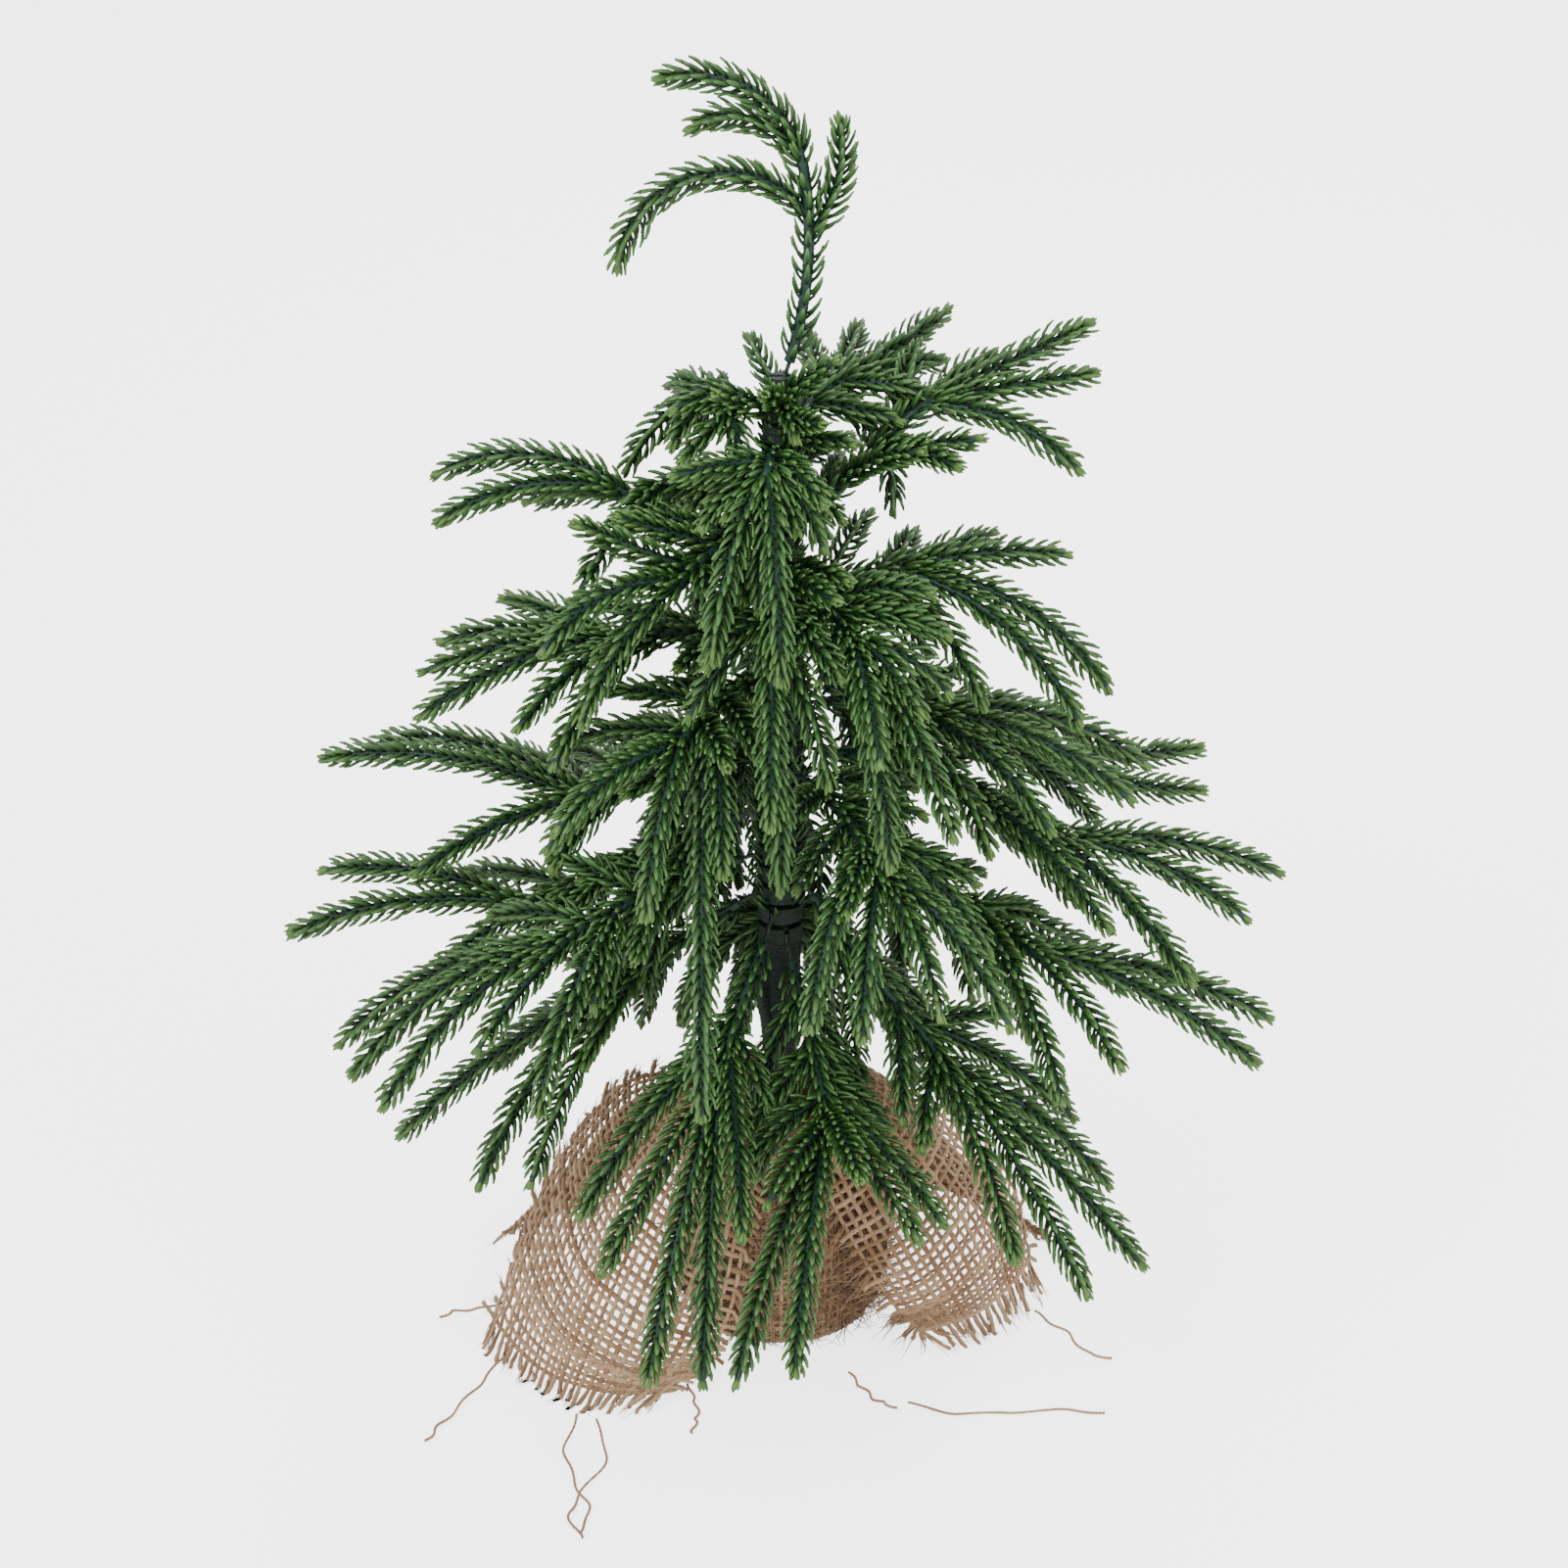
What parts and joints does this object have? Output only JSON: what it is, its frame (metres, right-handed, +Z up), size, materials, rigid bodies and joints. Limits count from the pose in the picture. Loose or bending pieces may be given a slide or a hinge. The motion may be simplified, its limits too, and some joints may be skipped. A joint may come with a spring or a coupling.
{
  "type": "artificial tabletop tree",
  "caption": "Small artificial evergreen with bendable needle sprays on a taped trunk, standing in a weighted pot wrapped and tied in burlap.",
  "frame": {"origin": "on the ground, at the trunk's axis and the middle of the wrapped base's underside", "axes": "+Z up the trunk, -Y to the front, +X to the right seen from the front"},
  "size_m": [0.4326, 0.3447, 0.5721],
  "materials": {
    "foliage": "moulded needles, darker inside and yellow-green at the tips",
    "steel": "drawn wire and rod",
    "tape": "wound floral tape",
    "pot": "plain moulded",
    "cement": "rough cast, opaque",
    "burlap": "open jute weave with frayed hems",
    "twine": "twisted jute"
  },
  "bodies": {
    "base": {"base_pot": "pot", "cement_weight": "cement", "trunk_rod": "steel", "trunk_wrap": "tape", "burlap_cloth": "burlap", "jute_tie": "twine"},
    "branch_bottom_front": {"wire_bottom_front": "steel", "spray_bottom_front": "foliage"},
    "branch_bottom_front_left": {"wire_bottom_front_left": "steel", "spray_bottom_front_left": "foliage"},
    "branch_bottom_left": {"wire_bottom_left": "steel", "spray_bottom_left": "foliage"},
    "branch_bottom_right": {"wire_bottom_right": "steel", "spray_bottom_right": "foliage"},
    "branch_low_front_left": {"wire_low_front_left": "steel", "spray_low_front_left": "foliage"},
    "branch_low_right": {"wire_low_right": "steel", "spray_low_right": "foliage"},
    "branch_low_left": {"wire_low_left": "steel", "spray_low_left": "foliage"},
    "branch_low_back": {"wire_low_back": "steel", "spray_low_back": "foliage"},
    "branch_low_front_right": {"wire_low_front_right": "steel", "spray_low_front_right": "foliage"},
    "branch_far_right": {"wire_far_right": "steel", "spray_far_right": "foliage"},
    "branch_middle_left": {"wire_middle_left": "steel", "spray_middle_left": "foliage"},
    "branch_middle_back_right": {"wire_middle_back_right": "steel", "spray_middle_back_right": "foliage"},
    "branch_middle_right": {"wire_middle_right": "steel", "spray_middle_right": "foliage"},
    "branch_middle_front_left": {"wire_middle_front_left": "steel", "spray_middle_front_left": "foliage"},
    "branch_upper_left": {"wire_upper_left": "steel", "spray_upper_left": "foliage"},
    "branch_middle_back": {"wire_middle_back": "steel", "spray_middle_back": "foliage"},
    "branch_upper_right": {"wire_upper_right": "steel", "spray_upper_right": "foliage"},
    "branch_upper_front_right": {"wire_upper_front_right": "steel", "spray_upper_front_right": "foliage"},
    "branch_upper_front": {"wire_upper_front": "steel", "spray_upper_front": "foliage"},
    "branch_long_right": {"wire_long_right": "steel", "spray_long_right": "foliage"},
    "branch_upper_front_left": {"wire_upper_front_left": "steel", "spray_upper_front_left": "foliage"},
    "branch_upper_back": {"wire_upper_back": "steel", "spray_upper_back": "foliage"},
    "branch_top_left": {"wire_top_left": "steel", "spray_top_left": "foliage"},
    "branch_top_front": {"wire_top_front": "steel", "spray_top_front": "foliage"},
    "branch_top_back_right": {"wire_top_back_right": "steel", "spray_top_back_right": "foliage"},
    "branch_crown_left": {"wire_crown_left": "steel", "spray_crown_left": "foliage"},
    "leader": {"wire_leader": "steel", "spray_leader": "foliage"}
  },
  "joints": [
    {"name": "bend_bottom_front", "type": "hinge", "parent": "base", "child": "branch_bottom_front", "pos_m": [0.00218, -0.00759, 0.188], "axis": [-0.9613, -0.2756, 0], "range_deg": [-12, 25]},
    {"name": "bend_bottom_front_left", "type": "hinge", "parent": "base", "child": "branch_bottom_front_left", "pos_m": [-0.00317, -0.00713, 0.1976], "axis": [-0.9135, 0.4067, 0], "range_deg": [-12, 30]},
    {"name": "bend_bottom_left", "type": "hinge", "parent": "base", "child": "branch_bottom_left", "pos_m": [-0.00769, -0.00054, 0.2072], "axis": [-0.0698, 0.9976, 0], "range_deg": [-15, 20]},
    {"name": "bend_bottom_right", "type": "hinge", "parent": "base", "child": "branch_bottom_right", "pos_m": [0.00631, -0.00426, 0.2168], "axis": [-0.5592, -0.829, 0], "range_deg": [-12, 20]},
    {"name": "bend_low_front_left", "type": "hinge", "parent": "base", "child": "branch_low_front_left", "pos_m": [-0.00664, -0.00353, 0.2264], "axis": [-0.4695, 0.8829, 0], "range_deg": [-15, 30]},
    {"name": "bend_low_right", "type": "hinge", "parent": "base", "child": "branch_low_right", "pos_m": [0.00706, -0.00229, 0.236], "axis": [-0.309, -0.9511, 0], "range_deg": [-20, 10]},
    {"name": "bend_low_left", "type": "hinge", "parent": "base", "child": "branch_low_left", "pos_m": [-0.00732, 0.00026, 0.2456], "axis": [0.0349, 0.9994, 0], "range_deg": [-18, 14]},
    {"name": "bend_low_back", "type": "hinge", "parent": "base", "child": "branch_low_back", "pos_m": [-0.00271, 0.0067, 0.2552], "axis": [0.9272, 0.3746, 0], "range_deg": [-20, 20]},
    {"name": "bend_low_front_right", "type": "hinge", "parent": "base", "child": "branch_low_front_right", "pos_m": [0.00335, -0.0063, 0.2648], "axis": [-0.8829, -0.4695, 0], "range_deg": [-20, 20]},
    {"name": "bend_far_right", "type": "hinge", "parent": "base", "child": "branch_far_right", "pos_m": [0.00703, 0.00025, 0.2744], "axis": [0.0349, -0.9994, 0], "range_deg": [-10, 12]},
    {"name": "bend_middle_left", "type": "hinge", "parent": "base", "child": "branch_middle_left", "pos_m": [-0.00679, 0.00144, 0.284], "axis": [0.2079, 0.9781, 0], "range_deg": [-12, 30]},
    {"name": "bend_middle_back_right", "type": "hinge", "parent": "base", "child": "branch_middle_back_right", "pos_m": [0.00593, 0.00342, 0.2936], "axis": [0.5, -0.866, 0], "range_deg": [-20, 30]},
    {"name": "bend_middle_right", "type": "hinge", "parent": "base", "child": "branch_middle_right", "pos_m": [0.00665, -0.00117, 0.3032], "axis": [-0.1736, -0.9848, 0], "range_deg": [-12, 14]},
    {"name": "bend_middle_front_left", "type": "hinge", "parent": "base", "child": "branch_middle_front_left", "pos_m": [-0.00391, -0.00538, 0.3128], "axis": [-0.809, 0.5878, 0], "range_deg": [-20, 15]},
    {"name": "bend_upper_left", "type": "hinge", "parent": "base", "child": "branch_upper_left", "pos_m": [-0.00641, -0.00136, 0.3224], "axis": [-0.2079, 0.9781, 0], "range_deg": [-20, 25]},
    {"name": "bend_middle_back", "type": "hinge", "parent": "base", "child": "branch_middle_back", "pos_m": [0.00134, 0.00632, 0.332], "axis": [0.9781, -0.2079, 0], "range_deg": [-20, 15]},
    {"name": "bend_upper_right", "type": "hinge", "parent": "base", "child": "branch_upper_right", "pos_m": [0.0063, 0.00089, 0.3416], "axis": [0.1392, -0.9903, 0], "range_deg": [-15, 15]},
    {"name": "bend_upper_front_right", "type": "hinge", "parent": "base", "child": "branch_upper_front_right", "pos_m": [0.00332, -0.00532, 0.3512], "axis": [-0.848, -0.5299, 0], "range_deg": [-12, 30]},
    {"name": "bend_upper_front", "type": "hinge", "parent": "base", "child": "branch_upper_front", "pos_m": [-0.00043, -0.00616, 0.3608], "axis": [-0.9976, 0.0698, 0], "range_deg": [-10, 12]},
    {"name": "bend_long_right", "type": "hinge", "parent": "base", "child": "branch_long_right", "pos_m": [0.00575, 0.00198, 0.3704], "axis": [0.3256, -0.9455, 0], "range_deg": [-20, 12]},
    {"name": "bend_upper_front_left", "type": "hinge", "parent": "base", "child": "branch_upper_front_left", "pos_m": [-0.00415, -0.0043, 0.38], "axis": [-0.7193, 0.6947, 0], "range_deg": [-20, 30]},
    {"name": "bend_upper_back", "type": "hinge", "parent": "base", "child": "branch_upper_back", "pos_m": [-0.00182, 0.0056, 0.3896], "axis": [0.9511, 0.309, 0], "range_deg": [-15, 30]},
    {"name": "bend_top_left", "type": "hinge", "parent": "base", "child": "branch_top_left", "pos_m": [-0.00577, 0.0004, 0.3992], "axis": [0.0698, 0.9976, 0], "range_deg": [-20, 30]},
    {"name": "bend_top_front", "type": "hinge", "parent": "base", "child": "branch_top_front", "pos_m": [-0.00099, -0.00561, 0.4088], "axis": [-0.9848, 0.1736, 0], "range_deg": [-4, 14]},
    {"name": "bend_top_back_right", "type": "hinge", "parent": "base", "child": "branch_top_back_right", "pos_m": [0.00345, 0.00441, 0.4184], "axis": [0.788, -0.6157, 0], "range_deg": [-20, 25]},
    {"name": "bend_crown_left", "type": "hinge", "parent": "base", "child": "branch_crown_left", "pos_m": [-0.00538, 0.00114, 0.428], "axis": [0.2079, 0.9781, 0], "range_deg": [-20, 15]},
    {"name": "bend_leader", "type": "hinge", "parent": "base", "child": "leader", "pos_m": [0, 0, 0.4376], "axis": [0, -1, 0], "range_deg": [-12, 12]}
  ]
}
